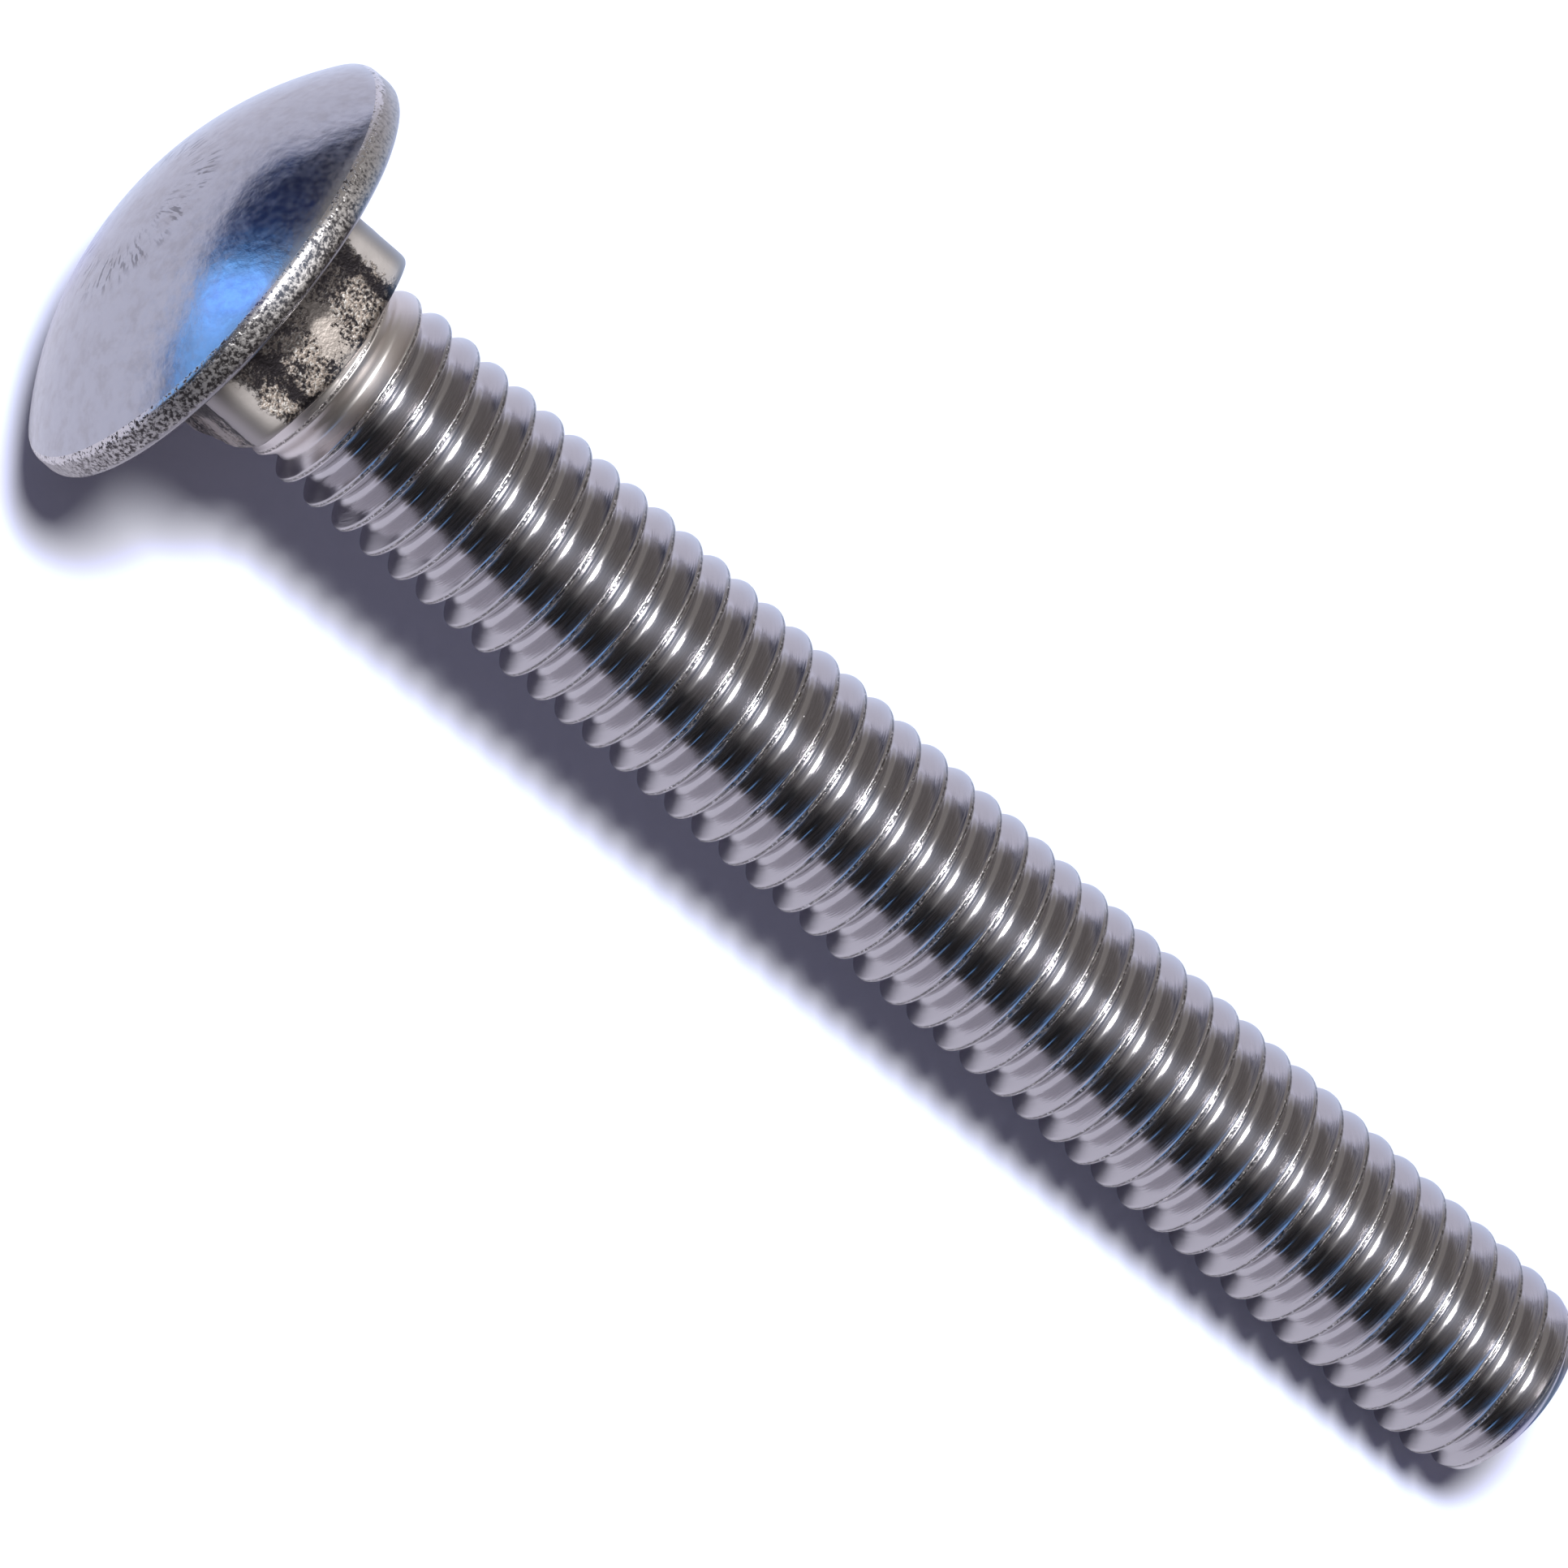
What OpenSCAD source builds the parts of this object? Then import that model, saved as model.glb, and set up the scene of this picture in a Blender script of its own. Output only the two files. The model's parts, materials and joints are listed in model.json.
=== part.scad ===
// Carriage bolt, 3/8-16 thread, 3 inches long, fully threaded under the square neck.
// One cold-formed piece: low domed head, square neck, smooth collar and a rolled thread.
// The bolt lies at rest on the rim of its head and on its last full thread.

/* [Head] */
// Diameter of the head
head_d = 20.7; // [17:0.1:24]
// Height of the head, from its bearing face to the top of the dome
head_h = 4.95; // [3.6:0.05:6.5]
// Thickness of the band round the rim, below the dome
rim_h = 1.32; // [0.9:0.02:1.8]
// Radius of the edge between the dome and the rim
dome_edge_r = 0.35; // [0.1:0.05:0.5]
// Radius of the edge between the rim and the bearing face
face_edge_r = 0.5; // [0.1:0.05:0.6]

/* [Square neck] */
// Width of the square neck across its flats
neck_w = 9.75; // [9.2:0.05:11]
// Length of the square neck under the head
neck_l = 4.7; // [3:0.1:7]
// Radius of the neck's four long corners
neck_corner_r = 1.05; // [0.4:0.05:1.6]
// Slope of the shoulder that trims the corners at the neck's end, in degrees
shoulder_slope = 19; // [10:1:35]
// Turn of the square about the bolt's axis as the bolt lies, in degrees
neck_turn = 23; // [0:1:89]

/* [Thread] */
// Length of the bolt from the bearing face of the head to its tip
bolt_l = 75.7; // [30:0.1:82]
// Outside diameter over the thread's crests
thread_d = 9.4; // [8.9:0.05:9.9]
// Distance from one crest to the next
pitch = 1.5875; // [1.4:0.0125:1.8]
// Depth of the thread from crest to root
thread_h = 0.93; // [0.7:0.01:1]
// Width of the flat on the crest
crest_flat = 0.2; // [0.1:0.01:0.3]
// Width of the flat at the root
root_flat = 0.31; // [0.2:0.01:0.4]

/* [Collar and tip] */
// Diameter of the plain collar between the neck and the thread
collar_d = 8.6; // [8.2:0.05:8.8]
// Length of the plain collar
collar_l = 0.9; // [0.5:0.05:3]
// Length over which the thread rises from the collar to its full height
run_out_l = 2; // [1:0.1:4]
// Diameter of the flat face at the tip
tip_d = 8.3; // [7.8:0.05:8.8]
// Slope of the taper at the tip, in degrees from the bolt's axis
taper_slope = 17; // [12:1:30]

/* [Hidden] */
$fn = 96;

// Depth by which joined forms run into each other
lap = 0.2;
// Depth by which the thread's stem lies under the collar's surface
stem_step = 0.02;
// Distance from the thread's start to its first crest
crest_lead = 0.18;
// Flat sides that make up one turn of the thread
sides = 28;

// Sphere that the dome is cut from
dome_h = head_h - rim_h;
dome_r = (pow(head_d / 2, 2) + pow(dome_h, 2)) / (2 * dome_h);
dome_centre_z = dome_r - head_h;
// Centre of the rounding between the dome and the rim
edge_centre_r = head_d / 2 - dome_edge_r;
edge_centre_z = dome_centre_z - sqrt(pow(dome_r - dome_edge_r, 2) - pow(edge_centre_r, 2));
// Radius at which the dome runs into that rounding
dome_end_r = edge_centre_r * dome_r / (dome_r - dome_edge_r);

// The shoulder ends on a circle that stands this far inside the flats
shoulder_inset = 0.12;
shoulder_d = neck_w - 2 * shoulder_inset;

// The thread starts at the collar's end
thread_start = neck_l + collar_l;
first_crest_z = thread_start + crest_lead;
crest_offsets = [-crest_flat / 2, crest_flat / 2, (pitch - root_flat) / 2, (pitch + root_flat) / 2];
points_per_turn = len(crest_offsets);
first_turn = floor((thread_start - first_crest_z) / pitch) - 2;
last_turn = ceil((bolt_l - first_crest_z) / pitch) + 2;
rows = points_per_turn * (last_turn - first_turn);
// Length of the taper at the tip
taper_l = (thread_d - tip_d) / 2 / tan(taper_slope);

// Tilt and height at which the rim and the last full crest touch the ground together
rest_rise = head_d / 2 - face_edge_r - thread_d / 2;
rest_run = bolt_l - taper_l + face_edge_r;
rest_tilt = acos(-face_edge_r / norm([rest_rise, rest_run])) - atan2(rest_run, rest_rise);
rest_z = (head_d / 2 - face_edge_r) * cos(rest_tilt) + face_edge_r * (1 - sin(rest_tilt));
// Ends of the lying bolt, which set its middle over the origin
head_end_x = dome_centre_z * cos(rest_tilt) - dome_r;
tip_end_x = bolt_l * cos(rest_tilt) + tip_d / 2 * sin(rest_tilt);

// Half section of the head, with the bolt's axis at x = 0 and the bearing face at y = 0
module head_section() {
    intersection() {
        translate([0, dome_centre_z]) circle(dome_r);
        translate([0, -head_h]) square([dome_end_r, head_h]);
    }
    translate([edge_centre_r, edge_centre_z]) circle(dome_edge_r);
    translate([head_d / 2 - face_edge_r, -face_edge_r]) circle(face_edge_r);
    translate([0, edge_centre_z]) square([head_d / 2, -face_edge_r - edge_centre_z]);
    translate([0, edge_centre_z]) square([head_d / 2 - face_edge_r, -edge_centre_z]);
}

module head() {
    rotate_extrude() head_section();
}

// Square with rounded corners, made of two crossed bars and four discs
module rounded_square(w, r) {
    square([w, w - 2 * r], center = true);
    square([w - 2 * r, w], center = true);
    for (x = [-1, 1], y = [-1, 1])
        translate([x * (w / 2 - r), y * (w / 2 - r)]) circle(r);
}

// Square neck, with its corners trimmed by a conical shoulder
module square_neck() {
    shoulder_drop = neck_w * tan(shoulder_slope);
    intersection() {
        translate([0, 0, -lap])
            linear_extrude(neck_l + lap)
                rotate(neck_turn) rounded_square(neck_w, neck_corner_r);
        rotate_extrude()
            polygon([
                [0, -lap - 1], [shoulder_d / 2 + neck_w, -lap - 1],
                [shoulder_d / 2 + neck_w, neck_l - shoulder_drop],
                [shoulder_d / 2, neck_l], [0, neck_l]
            ]);
    }
}

module collar() {
    translate([0, 0, neck_l - lap]) cylinder(d = collar_d, h = collar_l + lap);
}

// Radius of the bare thread form at a distance from the middle of its crest
function form_r(d) =
    d <= crest_flat / 2 ? thread_d / 2
    : d >= (pitch - root_flat) / 2 ? thread_d / 2 - thread_h
    : thread_d / 2 - thread_h * (2 * d - crest_flat) / (pitch - root_flat - crest_flat);

// Share of its full height that the thread has reached at height z
function rise(z) = min(max((z - thread_start) / run_out_l, 0), 1);

// Radius that the taper at the tip allows at height z
function taper_r(z) = tip_d / 2 + (bolt_l - z) * tan(taper_slope);

// Radius of the threaded surface at height z and at an angle round the axis
function thread_r(z, angle) =
    let (
        turns = (z - first_crest_z) / pitch - angle / 360,
        from_crest = abs(turns - round(turns)) * pitch,
        stem_r = collar_d / 2 - stem_step
    )
    min(stem_r + rise(z) * (form_r(from_crest) - stem_r), taper_r(z));

// Height of one point of the thread form on one of its sides, held between the thread's ends
function row_z(row, side) =
    let (turn = first_turn + floor(row / points_per_turn) + side / sides)
    min(max(first_crest_z + pitch * turn + crest_offsets[row % points_per_turn],
        thread_start - lap), bolt_l);

// Number of a point, where the side after the last is the first one, a turn further on
function point_number(row, side) =
    side < sides ? side * rows + row : row + points_per_turn;

// Right-hand helical thread. Its rows climb one pitch in a turn, and meet themselves a row set later
module thread() {
    points = [
        for (side = [0:sides - 1], row = [0:rows - 1])
            let (angle = 360 * side / sides, z = row_z(row, side), r = thread_r(z, angle))
            [r * cos(angle), r * sin(angle), z]
    ];
    flanks = [
        for (side = [0:sides - 1], row = [0:rows - points_per_turn - 2])
            let (
                here = point_number(row, side), above = point_number(row + 1, side),
                beside = point_number(row, side + 1), across = point_number(row + 1, side + 1)
            )
            each [
                if (row_z(row, side) < row_z(row + 1, side)) [here, above, across],
                if (row_z(row, side + 1) < row_z(row + 1, side + 1)) [here, across, beside]
            ]
    ];
    start_face = [for (side = [0:sides - 1]) point_number(0, side)];
    tip_face = [for (side = [sides - 1:-1:0]) point_number(rows - 1, side)];
    polyhedron(points, concat(flanks, [start_face], [tip_face]));
}

module carriage_bolt() {
    color([0.76, 0.75, 0.78])
        translate([-(head_end_x + tip_end_x) / 2, 0, rest_z])
            rotate([0, 90 + rest_tilt, 0]) {
                head();
                square_neck();
                collar();
                thread();
            }
}

carriage_bolt();
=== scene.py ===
"""Looks of a carriage bolt: one cold-formed steel piece lying on a pale studio floor."""

import json
import logging
import math
from abc import ABC, abstractmethod
from collections.abc import Callable
from dataclasses import dataclass, field
from enum import Enum
from typing import Any

import bmesh
import bpy
from mathutils import Matrix, Vector, noise


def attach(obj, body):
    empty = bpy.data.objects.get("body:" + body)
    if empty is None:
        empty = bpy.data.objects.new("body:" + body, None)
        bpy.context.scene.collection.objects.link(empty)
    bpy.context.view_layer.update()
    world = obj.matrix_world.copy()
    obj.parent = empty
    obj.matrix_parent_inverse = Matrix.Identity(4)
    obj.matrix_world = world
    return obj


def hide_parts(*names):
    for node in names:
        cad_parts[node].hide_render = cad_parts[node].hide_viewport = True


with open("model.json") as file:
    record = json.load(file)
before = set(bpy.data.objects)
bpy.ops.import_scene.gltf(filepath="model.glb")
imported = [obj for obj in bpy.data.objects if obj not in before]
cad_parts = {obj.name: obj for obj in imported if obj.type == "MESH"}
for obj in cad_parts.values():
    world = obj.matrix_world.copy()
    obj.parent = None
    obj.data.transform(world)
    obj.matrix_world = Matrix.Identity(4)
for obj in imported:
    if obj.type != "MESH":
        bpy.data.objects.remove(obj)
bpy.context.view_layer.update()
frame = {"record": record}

MM = 0.001
FULL_TURN = 2 * math.pi
RIGHT_ANGLE = math.pi / 2
WELD = 0.002 * MM

Place = Callable[[float], tuple[float, float]]
Colour = tuple[float, float, float]
Socket = bpy.types.NodeSocket

log = logging.getLogger("carriage_bolt")


class Surface(Enum):
    """The bolt's finishes, in the order of its material slots."""

    DOME = 0
    RIM = 1
    UNDERSIDE = 2
    NECK = 3
    COLLAR = 4
    THREAD = 5
    TIP = 6


def smooth_min(a: float, b: float, blend: float) -> float:
    """Takes the lesser of two lengths, rounded where they differ by less than the blend."""
    share = max(blend - abs(a - b), 0) / blend
    return min(a, b) - share * share * blend / 4


def add_object(name: str, data: bpy.types.ID) -> bpy.types.Object:
    """Adds an object to the scene."""
    made = bpy.data.objects.new(name, data)
    bpy.context.scene.collection.objects.link(made)
    return made


def clamp(value: float, low: float = 0.0, high: float = 1.0) -> float:
    """Holds a value between two limits."""
    return min(max(value, low), high)


@dataclass(frozen=True)
class BoltPlace:
    """Where the bolt's own axis lies in the row frame.

    Attributes:
        face: Centre of the head's bearing face.
        axis: Direction from the head to the tip.
    """

    face: Vector
    axis: Vector

    @classmethod
    def from_record(cls, record: dict[str, Any]) -> "BoltPlace":
        """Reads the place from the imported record's square neck mount.

        Args:
            record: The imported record.

        Returns:
            The place of the bolt's axis.
        """
        neck = next(m for m in record["mounts"] if m["name"] == "square_neck")
        axis = Vector(neck["axis"]).normalized()
        return cls(Vector(neck["pos_m"]) - axis * neck["dims"]["length_mm"] * MM / 2, axis)

    def matrix(self) -> Matrix:
        """Turns the bolt's own frame, +Z to the tip and +X down, into the row frame."""
        across = Vector((0, 1, 0))
        down = across.cross(self.axis)
        turn = Matrix((down, across, self.axis)).transposed().to_4x4()
        return Matrix.Translation(self.face) @ turn


class Skin:
    """One closed mesh round the bolt's axis, grown ring by ring from an open edge.

    Attributes:
        bm: The mesh that the rings go into.
        edges: Edges of the ring that is open now.
    """

    def __init__(self, bm: bmesh.types.BMesh, edges: list[bmesh.types.BMEdge]) -> None:
        """Starts from a ring of open edges."""
        self.bm = bm
        self.edges = edges

    def ring(self, place: Place, surface: Surface) -> None:
        """Extrudes the open edge to a new ring.

        Args:
            place: Gives a point's radius and height for its angle round the axis.
            surface: Finish of the faces up to the new ring.
        """
        made = bmesh.ops.extrude_edge_only(self.bm, edges=self.edges)["geom"]
        for vert in (g for g in made if isinstance(g, bmesh.types.BMVert)):
            angle = math.atan2(vert.co.y, vert.co.x)
            radius, height = place(angle)
            vert.co = (radius * math.cos(angle), radius * math.sin(angle), height)
        for face in (g for g in made if isinstance(g, bmesh.types.BMFace)):
            face.material_index = surface.value
        fresh = {g for g in made if isinstance(g, bmesh.types.BMVert)}
        self.edges = [
            g for g in made if isinstance(g, bmesh.types.BMEdge) and fresh.issuperset(g.verts)
        ]

    def close(self, height: float) -> None:
        """Draws the open ring together in one point on the axis, at that height."""
        verts = list({v for e in self.edges for v in e.verts})
        bmesh.ops.pointmerge(self.bm, verts=verts, merge_co=(0, 0, height))


def arc(centre: tuple[float, float], radius: float, first: float, last: float, steps: int
        ) -> list[tuple[float, float]]:
    """Lays points along an arc of an outline.

    Args:
        centre: Radius and height of the arc's centre.
        radius: The arc's radius.
        first: Direction of its first point, in degrees from outwards towards the tip.
        last: Direction of its last point, in degrees.
        steps: How many steps it takes.

    Returns:
        Radius and height of each point.
    """
    turns = [math.radians(first + (last - first) * i / steps) for i in range(steps + 1)]
    return [(centre[0] + radius * math.cos(t), centre[1] + radius * math.sin(t)) for t in turns]


@dataclass(frozen=True)
class Head:
    """Low domed head with a plain band round its rim."""

    diameter: float = 20.7 * MM
    height: float = 4.95 * MM
    rim: float = 1.32 * MM
    dome_edge: float = 0.42 * MM
    face_edge: float = 0.5 * MM
    dome_rows: int = 26
    edge_rows: int = 4
    rim_rows: int = 4
    face_rows: int = 4
    waviness: float = 0.025 * MM
    wave_length: float = 2.2 * MM

    def wave(self, radius: float, angle: float, height: float) -> float:
        """Gives how far the forged surface stands off its true form at a point, outwards."""
        spot = Vector((radius * math.cos(angle), radius * math.sin(angle), height))
        return self.waviness * noise.noise(spot / self.wave_length)

    def underside(self, skin: Skin, inner: Place) -> None:
        """Grows the flat bearing face, from the neck's outline out to the rim's edge.

        Args:
            skin: The mesh.
            inner: Outline of the neck where it meets the face.
        """
        outer = self.diameter / 2 - self.face_edge
        for row in range(1, self.face_rows + 1):
            share = row / self.face_rows
            skin.ring(lambda a, s=share: (inner(a)[0] * (1 - s) + outer * s, 0.0),
                      Surface.UNDERSIDE)

    def rim_band(self, skin: Skin) -> None:
        """Grows the rounded lower edge and the band round the rim.

        Args:
            skin: The mesh.
        """
        half = self.diameter / 2
        rounded = arc((half - self.face_edge, -self.face_edge), self.face_edge, 90, 0, self.edge_rows)
        top = self.edge_centre()[1]
        band = [(half, -self.face_edge + (top + self.face_edge) * i / self.rim_rows)
                for i in range(1, self.rim_rows + 1)]
        for radius, height in rounded[1:] + band:
            skin.ring(lambda a, r=radius, h=height: (r + self.wave(r, a, h), h), Surface.RIM)

    def dome_radius(self) -> float:
        """Gives the radius of the sphere that the dome is cut from."""
        cap = self.height - self.rim
        return ((self.diameter / 2) ** 2 + cap ** 2) / (2 * cap)

    def edge_centre(self) -> tuple[float, float]:
        """Gives the centre of the rounding between the dome and the rim."""
        out = self.diameter / 2 - self.dome_edge
        inner = self.dome_radius() - self.dome_edge
        return out, self.dome_radius() - self.height - math.sqrt(inner ** 2 - out ** 2)

    def dome(self, skin: Skin) -> None:
        """Grows the rounded edge and the dome, and closes it at its top.

        Args:
            skin: The mesh.
        """
        radius, centre = self.dome_radius(), self.dome_radius() - self.height
        edge_out, edge_height = self.edge_centre()
        slope = math.degrees(math.asin(edge_out / (radius - self.dome_edge)))
        for out, height in arc((edge_out, edge_height), self.dome_edge, 0, slope - 90, self.edge_rows)[1:]:
            skin.ring(lambda a, r=out, h=height: (r, h), Surface.RIM)
        for out, height in arc((0, centre), radius, slope - 90, -90, self.dome_rows)[1:-1]:
            skin.ring(lambda a, r=out, h=height: (r, h), Surface.DOME)
        skin.close(-self.height)


@dataclass(frozen=True)
class SquareNeck:
    """Square neck with rounded corners, trimmed at its end by a conical shoulder."""

    width: float = 9.75 * MM
    length: float = 4.7 * MM
    corner: float = 1.05 * MM
    slope: float = math.radians(19)
    turn: float = math.radians(23)
    inset: float = 0.12 * MM
    edge: float = 0.45 * MM
    edge_share: float = 0.8
    side_rows: int = 12
    edge_rows: int = 4
    shoulder_rows: int = 4
    groove_place: float = 2.65 * MM
    groove_width: float = 0.55 * MM
    groove_depth: float = 0.07 * MM
    grit: float = 0.035 * MM
    grit_size: float = 0.5 * MM

    def from_face(self, angle: float) -> float:
        """Gives the angle from the middle of the nearest flat side."""
        return (angle - self.turn + RIGHT_ANGLE / 2) % RIGHT_ANGLE - RIGHT_ANGLE / 2

    def outline(self, angle: float) -> float:
        """Gives the square's radius at an angle, with its rounded corners.

        Args:
            angle: Angle round the axis.

        Returns:
            Distance from the axis.
        """
        half = self.width / 2
        off = abs(self.from_face(angle))
        if math.tan(off) <= (half - self.corner) / half:
            return half / math.cos(off)
        middle = half - self.corner
        along = middle * (math.cos(off) + math.sin(off))
        return along + math.sqrt(along ** 2 - 2 * middle ** 2 + self.corner ** 2)

    def wear(self, angle: float, height: float) -> float:
        """Gives how far a side stands in from true, from its grooves and its rough forming.

        Args:
            angle: Angle round the axis.
            height: Height along the axis.

        Returns:
            The distance, inwards.
        """
        radius = self.outline(angle)
        across = radius * math.sin(self.from_face(angle))
        groove = math.exp(-((abs(across) - self.groove_place) / self.groove_width) ** 2)
        flat = clamp((self.width / 2 - self.corner / 2 - abs(across)) / self.corner)
        spot = Vector((radius * math.cos(angle), radius * math.sin(angle), height))
        return flat * (self.groove_depth * groove + self.grit * noise.noise(spot / self.grit_size))

    def shoulder_height(self, angle: float) -> float:
        """Gives the height at which the shoulder trims the square at an angle."""
        end = self.width / 2 - self.inset
        return self.length - max(self.outline(angle) - end, 0) * math.tan(self.slope)

    def foot(self, angle: float) -> tuple[float, float]:
        """Gives the neck's outline where it meets the bearing face."""
        return self.outline(angle) - self.wear(angle, 0), 0.0

    def profile(self, angle: float) -> list[tuple[float, float]]:
        """Lays the neck's outline at an angle: the shoulder, its rounded edge and the side.

        Args:
            angle: Angle round the axis.

        Returns:
            Radius and height of each point, from the collar to the bearing face.
        """
        end = self.width / 2 - self.inset
        low = self.shoulder_height(angle)
        out = self.outline(angle) - self.wear(angle, low)
        bend = math.tan((RIGHT_ANGLE - self.slope) / 2)
        radius = min(self.edge, self.edge_share * (out - end) / math.cos(self.slope) / bend)
        reach = radius * bend
        near = (out - reach * math.cos(self.slope), low + reach * math.sin(self.slope))
        points = [(end + (near[0] - end) * i / self.shoulder_rows,
                   self.length + (near[1] - self.length) * i / self.shoulder_rows)
                  for i in range(self.shoulder_rows + 1)]
        points += arc((out - radius, low - reach), radius, 90 - math.degrees(self.slope), 0,
                      self.edge_rows)[1:]
        for row in range(1, self.side_rows + 1):
            height = (low - reach) * (1 - row / self.side_rows)
            points.append((self.outline(angle) - self.wear(angle, height), height))
        return points

    def build(self, skin: Skin) -> None:
        """Grows the shoulder and the sides, from the collar to the bearing face.

        Args:
            skin: The mesh.
        """
        surfaces = ([Surface.COLLAR] * (self.shoulder_rows + 1)
                    + [Surface.NECK] * (self.edge_rows + self.side_rows))
        for number, surface in enumerate(surfaces):
            skin.ring(lambda a, n=number: self.profile(a)[n], surface)


@dataclass(frozen=True)
class Thread:
    """Rolled right-hand thread, with its run-out from the collar and its tapered tip."""

    pitch: float = 1.5875 * MM
    diameter: float = 9.4 * MM
    depth: float = 0.93 * MM
    crest_flat: float = 0.2 * MM
    root_flat: float = 0.36 * MM
    start: float = 4.95 * MM
    first_crest: float = 5.78 * MM
    end: float = 75.7 * MM
    run_out: float = 2.6 * MM
    rise_power: float = 0.6
    stem: float = 4.3 * MM
    tip_radius: float = 4.15 * MM
    taper: float = 1.8 * MM
    seam_width: float = 0.04 * MM
    seam_depth: float = 0.03 * MM
    sides: int = 96
    spare_turns: int = 2
    crest_rows: int = 3
    root_rows: int = 3
    blend: float = 0.08 * MM
    ripple: float = 0.008 * MM
    ripple_length: float = 0.9 * MM

    def flank(self) -> float:
        """Gives the slope angle of the flanks, from the crest's flat."""
        return math.atan2(self.depth, (self.pitch - self.crest_flat - self.root_flat) / 2)

    def crest_round(self) -> float:
        """Gives the rounding that takes up the whole flat of the crest."""
        return self.crest_flat / 2 / math.tan(self.flank() / 2)

    def root_round(self) -> float:
        """Gives the rounding that takes up the whole flat of the root."""
        return self.root_flat / 2 / math.tan(self.flank() / 2)

    def form(self, off: float) -> float:
        """Gives the radius of the full thread at a distance from the middle of its crest.

        Args:
            off: Distance along the axis from the crest's middle.

        Returns:
            Distance from the axis.
        """
        top, bottom = self.diameter / 2, self.diameter / 2 - self.depth
        crest, root = self.crest_round(), self.root_round()
        seam = self.seam_depth * math.exp(-(off / self.seam_width) ** 2)
        if off <= crest * math.sin(self.flank()):
            return top - crest + math.sqrt(crest ** 2 - off ** 2) - seam
        from_root = self.pitch / 2 - off
        if from_root <= root * math.sin(self.flank()):
            return bottom + root - math.sqrt(root ** 2 - from_root ** 2)
        return top - (off - self.crest_flat / 2) * math.tan(self.flank()) - seam

    def offsets(self) -> list[float]:
        """Gives the distances from the crest's middle at which one pitch has its rows.

        Returns:
            The distances, from one crest up to the next.
        """
        steep = self.flank()
        crest = [self.crest_round() * math.sin(steep * i / self.crest_rows)
                 for i in range(1, self.crest_rows + 1)]
        root = [self.pitch / 2 - self.root_round() * math.sin(steep * i / self.root_rows)
                for i in range(self.root_rows, 0, -1)]
        rise = [0.0, self.seam_width] + crest[1:] + root + [self.pitch / 2]
        return rise + [self.pitch - off for off in rise[-2:0:-1]]

    def radius(self, height: float, angle: float) -> float:
        """Gives the radius of the threaded surface at a point.

        Args:
            height: Height along the axis.
            angle: Angle round the axis, from 0 to a full turn.

        Returns:
            Distance from the axis.
        """
        turns = (height - self.first_crest) / self.pitch - angle / FULL_TURN
        off = abs(turns - round(turns)) * self.pitch
        share = clamp((height - self.start) / self.run_out) ** self.rise_power
        full = self.stem + share * (self.form(off) - self.stem)
        slope = (self.diameter / 2 - self.tip_radius) / self.taper
        spot = Vector((math.cos(angle) * full, math.sin(angle) * full, height)) / self.ripple_length
        rough = self.ripple * noise.noise(spot) * clamp(1 - off / self.crest_flat) * share
        return smooth_min(full + rough, self.tip_radius + (self.end - height) * slope, self.blend)

    def build(self, bm: bmesh.types.BMesh) -> tuple[Skin, Skin]:
        """Winds the thread by one turn of its whole length, which meets itself a pitch later.

        Args:
            bm: The mesh.

        Returns:
            The open ring at the collar and the one at the tip.
        """
        turns = math.ceil((self.end - self.first_crest) / self.pitch) + self.spare_turns
        heights = [self.first_crest + self.pitch * turn + off
                   for turn in range(-self.spare_turns, turns) for off in self.offsets()]
        verts = [bm.verts.new((self.diameter / 2, 0, height)) for height in heights]
        edges = [bm.edges.new(pair) for pair in zip(verts, verts[1:])]
        bmesh.ops.spin(bm, geom=verts + edges, cent=(0, 0, 0), axis=(0, 0, 1), angle=FULL_TURN,
                       dvec=(0, 0, self.pitch / self.sides), steps=self.sides, use_merge=False)
        for vert in bm.verts:
            angle = math.atan2(vert.co.y, vert.co.x) % FULL_TURN
            height = clamp(vert.co.z, self.start, self.end)
            radius = self.radius(height, angle)
            vert.co = (radius * math.cos(angle), radius * math.sin(angle), height)
        bmesh.ops.remove_doubles(bm, verts=bm.verts[:], dist=WELD)
        for face in bm.faces:
            face.material_index = Surface.THREAD.value
        middle = (self.start + self.end) / 2
        open_edges = [e for e in bm.edges if e.is_boundary]
        low = [e for e in open_edges if e.verts[0].co.z < middle]
        high = [e for e in open_edges if e.verts[0].co.z > middle]
        return Skin(bm, low), Skin(bm, high)

    def tip(self, skin: Skin, rows: int = 3) -> None:
        """Closes the flat face at the tip.

        Args:
            skin: The mesh, open at the tip.
            rows: How many rings the face has.
        """
        for row in range(1, rows + 1):
            share = 1 - row / (rows + 1)
            skin.ring(lambda a, s=share: (self.tip_radius * s, self.end), Surface.TIP)
        skin.close(self.end)


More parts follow.
